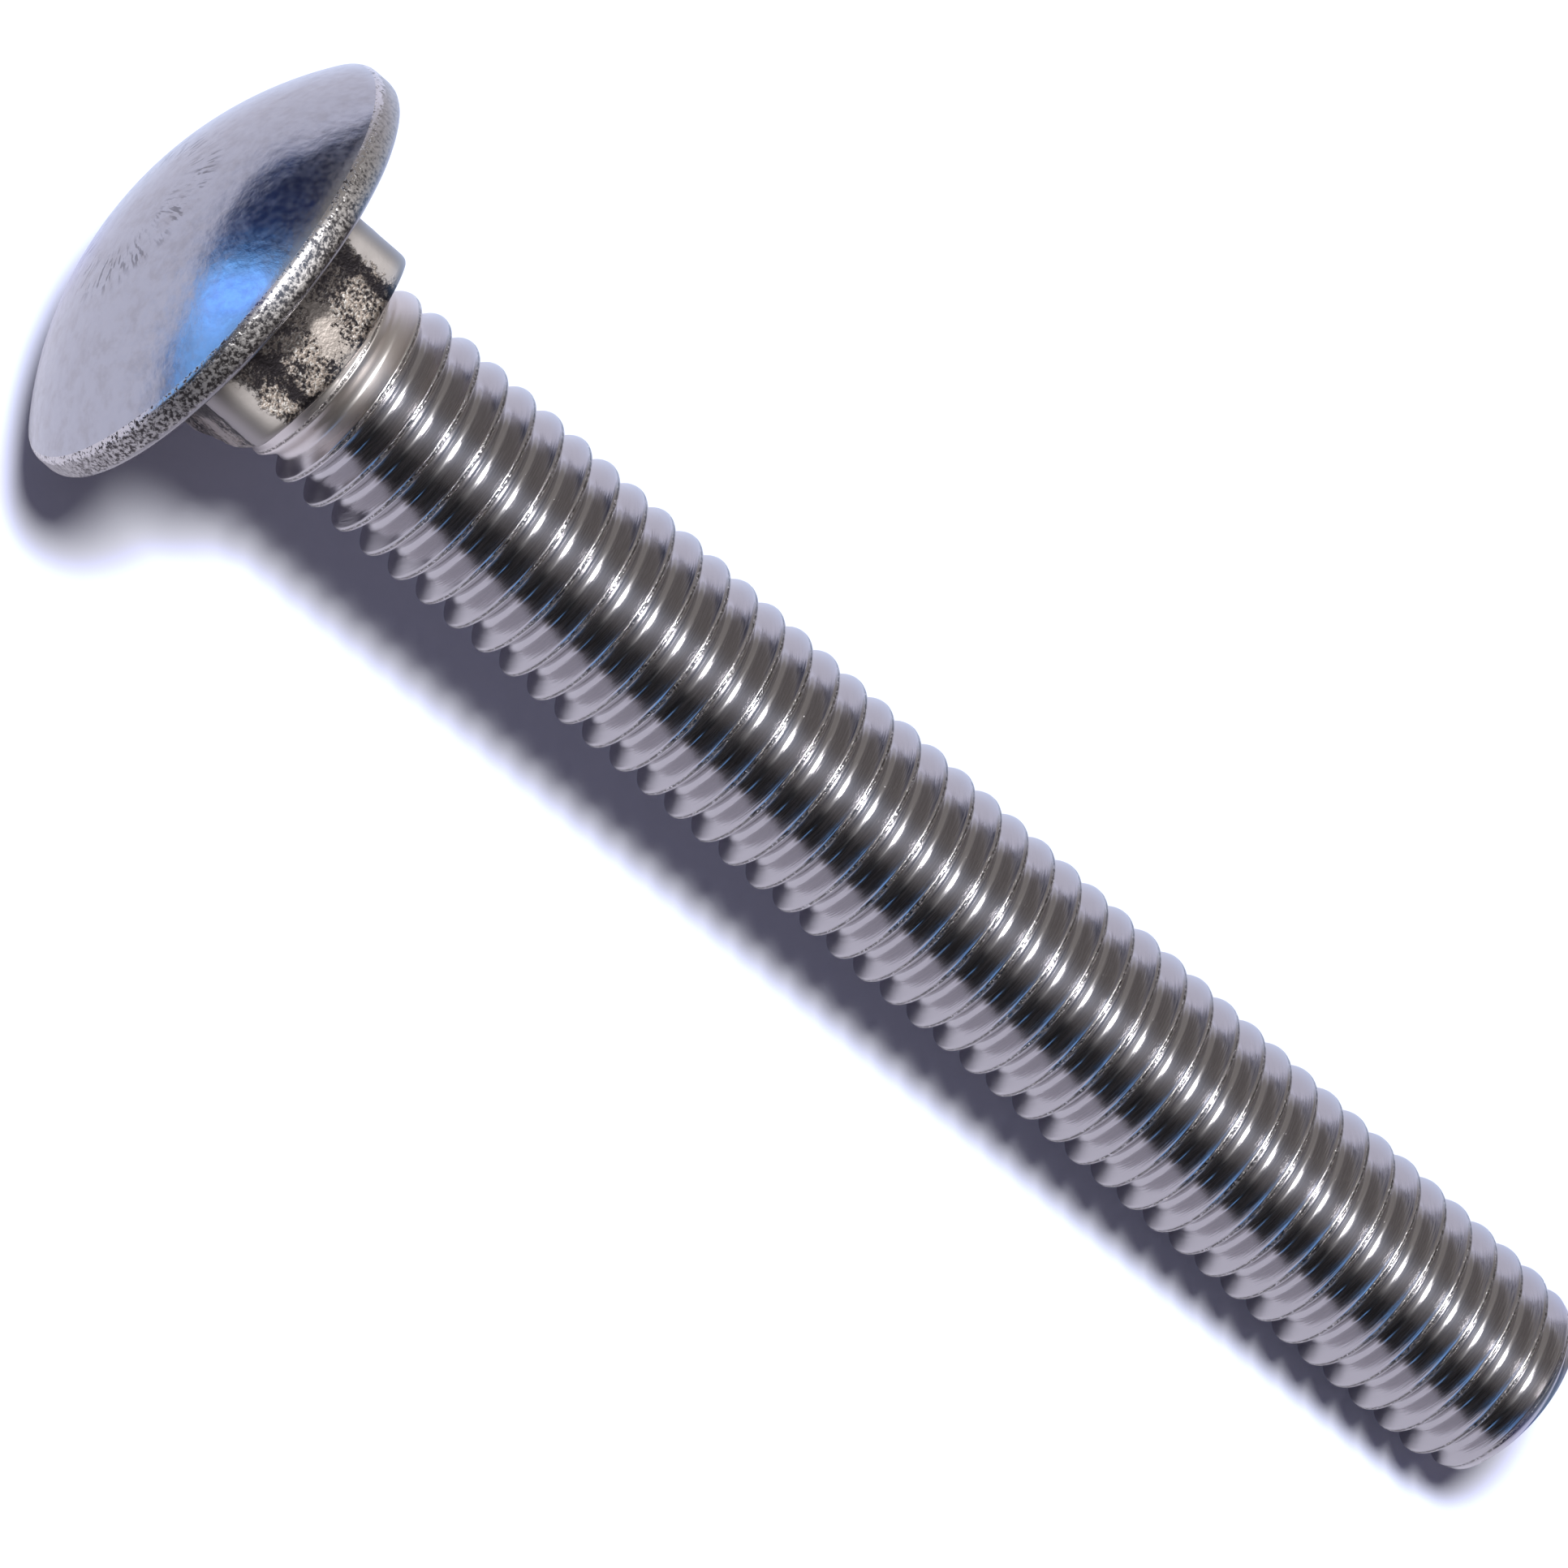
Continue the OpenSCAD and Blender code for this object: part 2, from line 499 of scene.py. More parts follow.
@dataclass(frozen=True)
class CarriageBolt:
    """The whole bolt, one piece of steel from its dome to its tip."""

    place: BoltPlace
    head: Head = field(default_factory=Head)
    neck: SquareNeck = field(default_factory=SquareNeck)
    thread: Thread = field(default_factory=Thread)
    sides: int = 192
    collar_rows: int = 3
    collar_gap: float = 0.12 * MM
    sharp_from: float = math.radians(35)

    def mesh(self) -> bpy.types.Mesh:
        """Builds the closed mesh in the row frame.

        Returns:
            The mesh, with a material number on each face.
        """
        bm = bmesh.new()
        at_collar, at_tip = self.thread.build(bm)
        self.thread.tip(at_tip)
        before = set(bm.edges)
        bmesh.ops.create_circle(bm, segments=self.sides, radius=self.thread.stem,
                                matrix=Matrix.Translation((0, 0, self.thread.start - self.collar_gap)))
        circle = [e for e in bm.edges if e not in before]
        bridge = bmesh.ops.bridge_loops(bm, edges=at_collar.edges + circle)
        for face in bridge["faces"]:
            face.material_index = Surface.COLLAR.value
        skin = Skin(bm, circle)
        low, high = self.neck.length, self.thread.start - self.collar_gap
        for row in range(1, self.collar_rows + 1):
            height = high + (low - high) * row / self.collar_rows
            skin.ring(lambda a, h=height: (self.thread.stem, h), Surface.COLLAR)
        self.neck.build(skin)
        self.head.underside(skin, self.neck.foot)
        self.head.rim_band(skin)
        self.head.dome(skin)
        bmesh.ops.recalc_face_normals(bm, faces=bm.faces[:])
        bmesh.ops.transform(bm, matrix=self.place.matrix(), verts=bm.verts[:])
        mesh = bpy.data.meshes.new("carriage_bolt_dressed")
        bm.to_mesh(mesh)
        bm.free()
        return mesh

    def build(self, finishes: dict[Surface, bpy.types.Material]) -> bpy.types.Object:
        """Makes the bolt and dresses it.

        Args:
            finishes: The material of each surface.

        Returns:
            The bolt.
        """
        mesh = self.mesh()
        mesh.shade_smooth()
        mesh.set_sharp_from_angle(angle=self.sharp_from)
        for surface in Surface:
            mesh.materials.append(finishes[surface])
        bolt = add_object("carriage_bolt_dressed", mesh)
        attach(bolt, "root")
        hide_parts("carriage_bolt")
        triangles = sum(len(p.vertices) - 2 for p in mesh.polygons)
        log.info("%s: %d triangles, riding on root", bolt.name, triangles)
        return bolt


@dataclass(frozen=True)
class Pattern:
    """Noise that a finish takes its unevenness from, and the stretch of it that counts.

    Attributes:
        scale: How fine it is.
        detail: How many finer layers it has.
        roughness: How strong the finer layers are.
        low: Where the stretch starts.
        high: Where the stretch ends.
    """

    scale: float
    detail: float = 2.0
    roughness: float = 0.5
    low: float = 0.0
    high: float = 1.0


@dataclass(frozen=True)
class Value:
    """An output in a node tree, which can be counted on with by Math nodes.

    Attributes:
        draft: The draft of the tree.
        socket: The output.
    """

    draft: "Draft"
    socket: Socket

    def __add__(self, other: Any) -> "Value":
        """Adds a number."""
        return self.draft.math("ADD", self, other)

    def __sub__(self, other: Any) -> "Value":
        """Takes away a number."""
        return self.draft.math("SUBTRACT", self, other)

    def __mul__(self, other: Any) -> "Value":
        """Multiplies by a number."""
        return self.draft.math("MULTIPLY", self, other)

    def __truediv__(self, other: Any) -> "Value":
        """Divides by a number."""
        return self.draft.math("DIVIDE", self, other)

    def __abs__(self) -> "Value":
        """Drops the sign."""
        return self.draft.math("ABSOLUTE", self)


class Draft:
    """Adds nodes to a tree and links them."""

    def __init__(self, tree: bpy.types.NodeTree) -> None:
        """Keeps the tree that the nodes go into."""
        self.tree = tree

    def node(self, kind: str, inputs: dict[Any, Any] | None = None, **settings: Any) -> bpy.types.Node:
        """Adds a node.

        Args:
            kind: The node's type.
            inputs: Value or output socket for each input, by its name or number.
            **settings: The node's own settings.

        Returns:
            The node.
        """
        made = self.tree.nodes.new(kind)
        for name, value in settings.items():
            setattr(made, name, value)
        for name, value in (inputs or {}).items():
            source = value.socket if isinstance(value, Value) else value
            if isinstance(source, Socket):
                self.tree.links.new(source, made.inputs[name])
            else:
                made.inputs[name].default_value = source
        return made

    def value(self, kind: str, inputs: dict[Any, Any] | None = None, output: Any = 0, **settings: Any
              ) -> Value:
        """Adds a node for one of its outputs, by its name or number."""
        return Value(self, self.node(kind, inputs, **settings).outputs[output])

    def outputs(self, node: bpy.types.Node) -> dict[str, Value]:
        """Gives a node's outputs by their names."""
        return {socket.name: Value(self, socket) for socket in node.outputs}

    def math(self, operation: str, *values: Any) -> Value:
        """Adds a Math node for an operation on some numbers."""
        return self.value("ShaderNodeMath", dict(enumerate(values)), operation=operation)

    def noise(self, vector: Value, pattern: Pattern) -> Value:
        """Adds a Noise Texture node with a pattern's settings."""
        return self.value("ShaderNodeTexNoise", {"Vector": vector, "Scale": pattern.scale,
                          "Detail": pattern.detail, "Roughness": pattern.roughness}, "Fac")

    def mask(self, vector: Value, pattern: Pattern, least: float = 0.0) -> Value:
        """Masks the stretch of a noise that counts, from the least share up to 1."""
        return self.remap(self.noise(vector, pattern), pattern.low, pattern.high, least)

    def bump(self, height: Value, distance: float, share: float = 1.0) -> Value:
        """Bends the normal by a height whose 1 stands for a distance in metres."""
        inputs = {"Height": height, "Strength": share, "Distance": distance}
        return self.value("ShaderNodeBump", inputs)

    def remap(self, value: Value, low: Any, high: Any, to_low: Any = 0.0, to_high: Any = 1.0,
              shape: str = "SMOOTHSTEP") -> Value:
        """Maps a range onto another and holds it there.

        Args:
            value: The value.
            low: Where the range starts.
            high: Where the range ends.
            to_low: What its start becomes.
            to_high: What its end becomes.
            shape: How it runs between them.

        Returns:
            The mapped value.
        """
        inputs = {"Value": value, "From Min": low, "From Max": high, "To Min": to_low,
                  "To Max": to_high}
        return self.value("ShaderNodeMapRange", inputs, interpolation_type=shape)

    def mix(self, share: Any, first: Any, second: Any) -> Value:
        """Mixes two colours.

        Args:
            share: Share of the second colour.
            first: First colour.
            second: Second colour.

        Returns:
            The mixed colour.
        """
        inputs = {0: share, 6: first, 7: second}
        inputs = {number: (*value, 1.0) if isinstance(value, tuple) else value
                  for number, value in inputs.items()}
        return self.value("ShaderNodeMix", inputs, 2, data_type="RGBA")

    def ramp(self, value: Value, stops: dict[float, Colour]) -> Value:
        """Colours a value by a smooth ramp.

        Args:
            value: The value, from 0 to 1.
            stops: Colour at each place on the ramp.

        Returns:
            The colour.
        """
        made = self.node("ShaderNodeValToRGB", {"Fac": value})
        made.color_ramp.interpolation = "EASE"
        elements = made.color_ramp.elements
        while len(elements) < len(stops):
            elements.new(0.5)
        for element, (place, colour) in zip(elements, sorted(stops.items())):
            element.position = place
            element.color = (*colour, 1)
        return Value(self, made.outputs["Color"])

    def group(self, tree: bpy.types.NodeTree, inputs: dict[str, Any] | None = None) -> dict[str, Value]:
        """Places a node group and gives its outputs by their names."""
        return self.outputs(self.node("ShaderNodeGroup", inputs, node_tree=tree))

    def axes(self, vector: Any) -> list[Value]:
        """Splits a vector into its three parts."""
        return list(self.outputs(self.node("ShaderNodeSeparateXYZ", {0: vector})).values())

    def vector(self, *parts: Any) -> Value:
        """Joins three parts into a vector."""
        return self.value("ShaderNodeCombineXYZ", dict(enumerate(parts)))


def new_group(name: str, inputs: dict[str, float], outputs: dict[str, str]
              ) -> tuple[bpy.types.NodeTree, Draft, bpy.types.Node, bpy.types.Node]:
    """Starts a shader node group.

    Args:
        name: The group's name.
        inputs: Name and usual value of each input.
        outputs: Name and socket type of each output.

    Returns:
        The group, a draft of it, and its input and output nodes.
    """
    tree = bpy.data.node_groups.new(name, "ShaderNodeTree")
    for label, value in inputs.items():
        socket = tree.interface.new_socket(label, in_out="INPUT", socket_type="NodeSocketFloat")
        socket.default_value = value
    for label, kind in outputs.items():
        tree.interface.new_socket(label, in_out="OUTPUT", socket_type=kind)
    draft = Draft(tree)
    return tree, draft, draft.node("NodeGroupInput"), draft.node("NodeGroupOutput")


@dataclass
class Effects:
    """Node groups that the finishes share."""

    place: BoltPlace
    grit_detail: float = 4.0
    grit_roughness: float = 0.65
    spot: bpy.types.NodeTree = field(init=False)
    grit: bpy.types.NodeTree = field(init=False)

    def __post_init__(self) -> None:
        """Builds each group once."""
        self.spot = self.build_spot()
        self.grit = self.build_grit()

    def build_spot(self) -> bpy.types.NodeTree:
        """Builds the group that tells where on the bolt a point is, in millimetres.

        Returns:
            The group.
        """
        outputs = {"Point": "NodeSocketVector", "Along": "NodeSocketFloat",
                   "Out": "NodeSocketFloat", "Angle": "NodeSocketFloat"}
        tree, draft, _, end = new_group("bolt_spot", {}, outputs)
        matrix = self.place.matrix()
        where = draft.node("ShaderNodeTexCoord").outputs["Object"]
        inputs = {"Vector": where, "Location": matrix.translation,
                  "Rotation": matrix.to_euler(), "Scale": (MM, MM, MM)}
        point = draft.node("ShaderNodeMapping", inputs, vector_type="TEXTURE").outputs[0]
        x, y, along = draft.axes(point)
        tree.links.new(point, end.inputs["Point"])
        for label, value in (("Along", along), ("Out", draft.math("SQRT", x * x + y * y)),
                             ("Angle", draft.math("ARCTAN2", y, x))):
            tree.links.new(value.socket, end.inputs[label])
        return tree

    def build_grit(self) -> bpy.types.NodeTree:
        """Builds the group of coarse grains with dark pits between them.

        Returns:
            The group.
        """
        inputs = {"Scale": 6.0, "Cover": 0.5, "Softness": 0.1}
        outputs = {"Pits": "NodeSocketFloat", "Height": "NodeSocketFloat"}
        tree, draft, start, end = new_group("forged_grit", inputs, outputs)
        given = draft.outputs(start)
        grain = draft.value("ShaderNodeTexNoise", {
            "Vector": draft.group(self.spot)["Point"], "Scale": given["Scale"],
            "Detail": self.grit_detail, "Roughness": self.grit_roughness}, "Fac")
        pits = draft.remap(grain, given["Cover"] - given["Softness"], given["Cover"] + given["Softness"])
        tree.links.new(pits.socket, end.inputs["Pits"])
        tree.links.new(grain.socket, end.inputs["Height"])
        return tree


@dataclass(frozen=True, kw_only=True)
class Finish(ABC):
    """Bare metal, even until its own looks are drawn on it.

    Attributes:
        name: The material's name.
        colour: Its plain colour.
        roughness: Its plain roughness.
        smoother: How far the roughness of an uneven polish falls below the plain one.
        duller: How far it rises above it.
    """

    name: str
    colour: Colour
    roughness: float
    smoother: float = 0.03
    duller: float = 0.05

    @abstractmethod
    def looks(self, draft: Draft, effects: Effects) -> dict[str, Value]:
        """Draws what sets the finish apart from plain metal.

        Args:
            draft: The material's nodes.
            effects: The shared node groups.

        Returns:
            What goes into the shader's inputs, by their names.
        """

    def polish(self, draft: Draft, noise: Value, pattern: Pattern) -> Value:
        """Gives the roughness of a polish that follows a noise."""
        return draft.remap(noise, pattern.low, pattern.high, self.roughness - self.smoother,
                           self.roughness + self.duller)

    def material(self, effects: Effects) -> bpy.types.Material:
        """Builds the material.

        Args:
            effects: The shared node groups.

        Returns:
            The material.
        """
        material = bpy.data.materials.new(self.name)
        material.use_nodes = True
        draft = Draft(material.node_tree)
        shader = material.node_tree.nodes["Principled BSDF"]
        shader.inputs["Base Color"].default_value = (*self.colour, 1)
        shader.inputs["Metallic"].default_value = 1.0
        shader.inputs["Roughness"].default_value = self.roughness
        for name, value in self.looks(draft, effects).items():
            material.node_tree.links.new(value.socket, shader.inputs[name])
        return material


@dataclass(frozen=True, kw_only=True)
class DomeFinish(Finish):
    """Satin steel with a faint mottle, and a ring of short creases round the dome's top."""

    name: str = "satin_dome"
    colour: Colour = (0.49, 0.50, 0.54)
    roughness: float = 0.215
    stain: Colour = (0.40, 0.395, 0.41)
    stain_share: float = 0.65
    crease: Colour = (0.15, 0.15, 0.165)
    crease_share: float = 0.75
    crease_depth: float = 0.7
    ring: float = 3.45
    ring_width: float = 1.3
    ring_core: float = 0.5
    creases_around: float = 17.0
    creases_out: float = 1.3
    fewest_creases: float = 0.25
    broad_height: float = 2.5
    fine_height: float = 0.35
    relief: float = 0.02 * MM
    relief_share: float = 0.6
    mottle: Pattern = Pattern(1.1, 5.0, 0.7, 0.42, 0.68)
    strokes: Pattern = Pattern(1.0, 2.0, 0.6, 0.53, 0.62)
    scatter: Pattern = Pattern(0.8, 1.0, 0.5, 0.35, 0.6)
    sheen: Pattern = Pattern(3.0, 3.0, 0.5, 0.3, 0.7)
    fine: Pattern = Pattern(7.0, 3.0, 0.6)
    broad: Pattern = Pattern(0.9, 2.0)

    def looks(self, draft: Draft, effects: Effects) -> dict[str, Value]:
        """Draws the mottle, the creases and the unevenness.

        Args:
            draft: The material's nodes.
            effects: The shared node groups.

        Returns:
            What goes into the shader's inputs, by their names.
        """
        spot = draft.group(effects.spot)
        point = spot["Point"]
        around = draft.vector(draft.math("COSINE", spot["Angle"]) * self.creases_around,
                              draft.math("SINE", spot["Angle"]) * self.creases_around,
                              spot["Out"] * self.creases_out)
        band = (draft.remap(abs(spot["Out"] - self.ring), self.ring_width, self.ring_core)
                * draft.mask(point, self.scatter, self.fewest_creases))
        creased = draft.mask(around, self.strokes) * band
        stained = draft.mix(draft.mask(point, self.mottle) * self.stain_share, self.colour, self.stain)
        uneven = (draft.noise(point, self.broad) * self.broad_height
                  + draft.noise(point, self.fine) * self.fine_height)
        height = uneven - creased * self.crease_depth
        return {
            "Base Color": draft.mix(creased * self.crease_share, stained, self.crease),
            "Roughness": self.polish(draft, draft.noise(point, self.sheen), self.sheen),
            "Normal": draft.bump(height, self.relief, self.relief_share)}


@dataclass(frozen=True, kw_only=True)
class GrittyFinish(Finish):
    """Rough forged steel: coarse grains, with dark pits between them."""

    colour: Colour = (0.50, 0.465, 0.44)
    dark: Colour = (0.06, 0.05, 0.045)
    roughness: float = 0.5
    grain: float = 5.5
    cover: float = 0.45
    softness: float = 0.09
    relief: float = 0.05 * MM

    def looks(self, draft: Draft, effects: Effects) -> dict[str, Value]:
        """Draws the grit.

        Args:
            draft: The material's nodes.
            effects: The shared node groups.

        Returns:
            What goes into the shader's inputs, by their names.
        """
        grit = draft.group(effects.grit, {"Scale": self.grain, "Cover": self.cover,
                                          "Softness": self.softness})
        return {"Base Color": draft.mix(grit["Pits"], self.dark, self.colour),
                "Normal": draft.bump(grit["Height"], self.relief)}


@dataclass(frozen=True, kw_only=True)
class RimFinish(Finish):
    """Sandy band with dark pits, burnished where it turns into the dome and the bearing face; painted glint
    lightens the edge to the dome and painted shade darkens the lip by the bearing face.
    """

    head: Head
    name: str = "sandy_rim"
    colour: Colour = (0.56, 0.54, 0.535)
    dark: Colour = (0.075, 0.068, 0.07)
    # Lighter colour along the burnished edge to the dome: painted glint.
    edge: Colour = (0.66, 0.64, 0.64)
    # Darker colour on the rounding into the bearing face: painted shade under the head.
    lip: Colour = (0.27, 0.26, 0.27)
    roughness: float = 0.5
    polished: float = 0.25
    grain: float = 6.0
    cover: float = 0.51
    cover_away: float = 0.34
    softness: float = 0.09
    softness_away: float = 0.3
    pitted_side: float = math.radians(-135)
    pitted_from: float = 0.2
    pitted_full: float = 0.85
    edge_start: float = 0.24
    edge_full: float = 0.1
    lip_start: float = -0.36
    lip_full: float = -0.2
    glint_from: float = 0.41
    glint_full: float = 0.47
    wobble: Pattern = Pattern(3.5, 3.0)
    wobble_size: float = 0.5
    relief: float = 0.028 * MM
    worn_relief: float = 0.2

    def looks(self, draft: Draft, effects: Effects) -> dict[str, Value]:
        """Draws the pits, the burnished edge with its painted glint, and the lip darkened by painted shade.

        Args:
            draft: The material's nodes.
            effects: The shared node groups.

        Returns:
            What goes into the shader's inputs, by their names.
        """
        spot = draft.group(effects.spot)
        wobble = (draft.noise(spot["Point"], self.wobble) - 0.5) * self.wobble_size
        along = spot["Along"] + wobble
        top = -self.head.rim / MM
        above = draft.remap(along, top + self.edge_start, top + self.edge_full)
        # Painted shade on the burnished rounding into the bearing face.
        below = draft.remap(along, self.lip_start, self.lip_full)
        swung = draft.math("COSINE", spot["Angle"] - self.pitted_side)
        cover = draft.remap(swung, self.pitted_from, self.pitted_full, self.cover_away, self.cover)
        softness = draft.remap(swung, self.pitted_from, self.pitted_full, self.softness_away,
                               self.softness)
        grit = draft.group(effects.grit, {"Scale": self.grain, "Cover": cover,
                                          "Softness": softness})
        sandy = draft.mix(grit["Pits"], self.dark, self.colour)
        # Painted glint: lighter colour on the higher grains of the burnished edge to the dome.
        glint = above * draft.remap(grit["Height"], self.glint_from, self.glint_full)
        worn = draft.math("MAXIMUM", glint, below)
        height = grit["Height"] * draft.remap(worn, 0.0, 1.0, 1.0, self.worn_relief)
        return {"Base Color": draft.mix(glint, draft.mix(below, sandy, self.lip), self.edge),
                "Roughness": draft.remap(worn, 0.0, 1.0, self.roughness, self.polished),
                "Normal": draft.bump(height, self.relief)}


@dataclass(frozen=True, kw_only=True)
class NeckFinish(Finish):
    """Flats rough from forging with dark pits, bands of painted dark reflection, painted shade near the
    head and a patch of painted highlight; corners burnished by the die.
    """

    neck: SquareNeck
    name: str = "forged_neck"
    colour: Colour = (0.43, 0.405, 0.40)
    tan: Colour = (0.36, 0.31, 0.275)
    white: Colour = (0.56, 0.535, 0.515)
    # Lighter colour of the patch mid-flat: painted highlight.
    patch: Colour = (0.49, 0.445, 0.415)
    dark: Colour = (0.027, 0.024, 0.027)
    roughness: float = 0.5
    corner_roughness: float = 0.62
    grain: float = 6.0
    softness: float = 0.1
    cover: float = 0.5
    cover_swing: float = 0.5
    relief: float = 0.04 * MM
    worn_relief: float = 0.12
    corner_start: float = 3.45
    corner_end: float = 3.75
    # The band settings lay two dark bands along the flats: painted dark reflection, with more pits in them.
    band_shift: float = 0.4
    band_place: float = 2.7
    band_half: float = 0.45
    band_share: float = 0.7
    band_cover: float = 0.1
    patch_across: float = -0.92
    patch_slant: float = 0.19
    patch_along: float = 3.1
    patch_width: float = 0.62
    patch_length: float = 1.8
    patch_ragged: float = 3.5
    patch_fade: float = 0.1
    patch_share: float = 0.9
    patch_smooth: float = 0.45
    # Painted shade cast by the head: the flats darken within about 2.5 mm of the bearing face.
    head_shade_start: float = 2.75
    head_shade_end: float = 2.3
    head_shade_share: float = 0.8
    broad: Pattern = Pattern(1.1, 2.0)
    fine: Pattern = Pattern(4.0, 4.0, 0.7)
    speckle: Pattern = Pattern(9.0, 2.0, 0.5, 0.5, 0.62)

    def highlight_patch_mask(self, draft: Draft, across: Value, along: Value, ragged: Value) -> Value:
        """Lays the smoother patch mid-flat whose lighter colour is painted highlight.

        Args:
            draft: The material's nodes.
            across: Distance from the middle of the flat.
            along: Height along the axis.
            ragged: How far its edge is moved.

        Returns:
            Mask of the patch.
        """
        wide = (across - along * self.patch_slant - self.patch_across) / self.patch_width
        tall = (along - self.patch_along) / self.patch_length
        reach = draft.math("SQRT", wide * wide + tall * tall)
        return draft.remap(reach + ragged, 1 + self.patch_fade, 1 - self.patch_fade)

    def looks(self, draft: Draft, effects: Effects) -> dict[str, Value]:
        """Draws the grit, the bands of painted dark reflection, the patch of painted highlight, the painted
        shade near the head and the corners.

        Args:
            draft: The material's nodes.
            effects: The shared node groups.

        Returns:
            What goes into the shader's inputs, by their names.
        """
        spot = draft.group(effects.spot)
        point = spot["Point"]
        off = draft.math("WRAP", spot["Angle"] - self.neck.turn, RIGHT_ANGLE / 2, -RIGHT_ANGLE / 2)
        across = spot["Out"] * draft.math("SINE", off)
        broad = draft.noise(point, self.broad) - 0.5
        fine = draft.noise(point, self.fine) - 0.5
        ragged = broad + fine
        corner = draft.remap(abs(across) + ragged, self.corner_start, self.corner_end)
        # Painted dark reflection in two bands along the flats.
        beside = abs(across + self.band_shift) + ragged - self.band_place
        band = draft.remap(abs(beside), self.band_half, self.band_half / 3)
        # Painted highlight: a smoother patch mid-flat with a lighter colour.
        patch = self.highlight_patch_mask(draft, across, spot["Along"], fine * self.patch_ragged + broad)
        # Painted shade cast by the head on the neck.
        head_shade = draft.remap(spot["Along"] + ragged, self.head_shade_start, self.head_shade_end)
        cover = broad * self.cover_swing + self.cover + band * self.band_cover
        grit = draft.group(effects.grit, {"Scale": self.grain, "Cover": cover,
                                          "Softness": self.softness})
        colour = draft.mix(grit["Pits"], self.dark,
                           draft.mix(draft.mask(point, self.speckle), self.tan, self.white))
        # Lays the bands of painted dark reflection, the painted highlight and the painted shade over the
        # grit.
        for mask, share, over in ((band, self.band_share, self.dark),
                                  (patch, self.patch_share, self.patch),
                                  (head_shade, self.head_shade_share, self.dark)):
            colour = draft.mix(mask * share, colour, over)
        plain = draft.math("MAXIMUM", corner, patch * self.patch_smooth)
        height = grit["Height"] * draft.remap(plain, 0.0, 1.0, 1.0, self.worn_relief)
        return {"Base Color": draft.mix(corner, colour, self.colour),
                "Roughness": draft.remap(corner, 0.0, 1.0, self.roughness, self.corner_roughness),
                "Normal": draft.bump(height, self.relief)}


@dataclass(frozen=True, kw_only=True)
class CollarFinish(Finish):
    """Satin drawn wire, with faint rings round the axis."""

    name: str = "satin_collar"
    colour: Colour = (0.74, 0.69, 0.66)
    roughness: float = 0.4
    rings_around: float = 0.5
    rings_along: float = 5.0
    rings: Pattern = Pattern(1.0, 3.0)
    relief: float = 0.02 * MM
    relief_share: float = 0.6

    def looks(self, draft: Draft, effects: Effects) -> dict[str, Value]:
        """Draws the rings.

        Args:
            draft: The material's nodes.
            effects: The shared node groups.

        Returns:
            What goes into the shader's inputs, by their names.
        """
        spot = draft.group(effects.spot)
        rings = draft.vector(spot["Angle"] * self.rings_around, 0.0, spot["Along"] * self.rings_along)
        return {"Normal": draft.bump(draft.noise(rings, self.rings), self.relief, self.relief_share)}


@dataclass(frozen=True, kw_only=True)
class ThreadFinish(Finish):
    """Steel polished by rolling, with fine lines along the thread and a torn seam on its crest."""

    thread: Thread
    name: str = "rolled_thread"
    colour: Colour = (0.52, 0.505, 0.52)
    roughness: float = 0.19
    satin: float = 0.37
    satin_end: float = 7.3
    satin_full: float = 6.1
    satin_colour: Colour = (0.70, 0.66, 0.64)
    seam_half: float = 0.1
    seam_dark: Colour = (0.10, 0.09, 0.085)
    seam_share: float = 0.8
    lines_around: float = 0.6
    lines_across: float = 14.0
    line_height: float = 0.2
    lines: Pattern = Pattern(1.0, 2.0, 0.5, 0.3, 0.7)
    torn: Pattern = Pattern(8.0, 3.0, 0.8, 0.44, 0.51)
    relief: float = 0.03 * MM

    def looks(self, draft: Draft, effects: Effects) -> dict[str, Value]:
        """Draws the rolling lines, the seam and the satin first turns.

        Args:
            draft: The material's nodes.
            effects: The shared node groups.

        Returns:
            What goes into the shader's inputs, by their names.
        """
        spot = draft.group(effects.spot)
        lines = draft.vector(spot["Angle"] * self.lines_around, spot["Out"] * self.lines_across,
                             spot["Along"] * self.lines_across)
        fine = draft.noise(lines, self.lines)
        climbed = (spot["Along"] - self.thread.first_crest / MM) / (self.thread.pitch / MM)
        turns = climbed - spot["Angle"] / FULL_TURN
        off = abs(draft.math("WRAP", turns, 0.5, -0.5))
        middle = draft.remap(off, self.seam_half / self.thread.pitch * MM, 0.0)
        seam = middle * draft.mask(spot["Point"], self.torn)
        fresh = draft.remap(spot["Along"], self.satin_end, self.satin_full)
        steel = draft.mix(fresh, self.colour, self.satin_colour)
        return {"Base Color": draft.mix(seam * self.seam_share, steel, self.seam_dark),
                "Roughness": draft.math("MAXIMUM", self.polish(draft, fine, self.lines),
                                        fresh * self.satin),
                "Normal": draft.bump(fine * self.line_height - seam, self.relief)}


# Colour of the room at each angle round the bolt, in degrees from straight down
ROOM = {94: (0.62, 0.61, 0.70), 108: (0.29, 0.27, 0.26), 160: (0.27, 0.25, 0.235),
        188: (0.55, 0.50, 0.46), 212: (0.22, 0.21, 0.21), 232: (0.01, 0.01, 0.013),
        270: (0.014, 0.013, 0.014), 284: (0.075, 0.055, 0.045), 298: (0.62, 0.59, 0.66)}
# Colour of the blue field behind the head, at each share of its width
BLUE_FIELD = {0.1: (0.25, 0.55, 1.1), 0.42: (0.34, 0.74, 1.5), 0.53: (0.52, 1.2, 2.4),
              0.58: (0.42, 1.0, 2.0), 0.68: (0.006, 0.025, 0.13), 1.0: (0.003, 0.007, 0.035)}
FULL_DEGREES = 360.0


